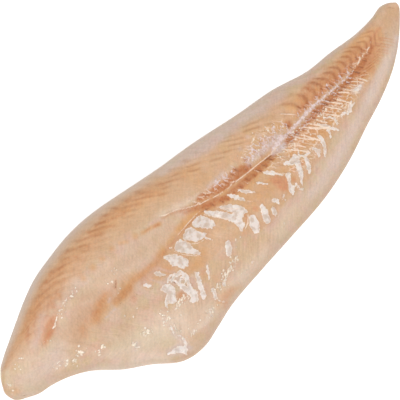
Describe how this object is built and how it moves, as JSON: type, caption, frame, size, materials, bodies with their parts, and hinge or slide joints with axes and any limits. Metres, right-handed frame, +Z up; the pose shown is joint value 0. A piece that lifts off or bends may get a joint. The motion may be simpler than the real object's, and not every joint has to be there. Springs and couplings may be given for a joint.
{
  "type": "raw cod fillet",
  "caption": "Raw skinned cod fillet lying bone side up, with a thick loin, a thin belly flap and flakes in a W pattern along a brown backbone line.",
  "frame": {"origin": "middle of the fillet's box, on the surface that the fillet lies on", "axes": "+X along the fillet from the head end to the tail, +Y from the belly edge to the back edge, +Z up out of the bone side"},
  "size_m": [0.38, 0.1151, 0.0289],
  "materials": {
    "flesh": "wet"
  },
  "bodies": {
    "root": {"fillet": "flesh"}
  },
  "joints": []
}
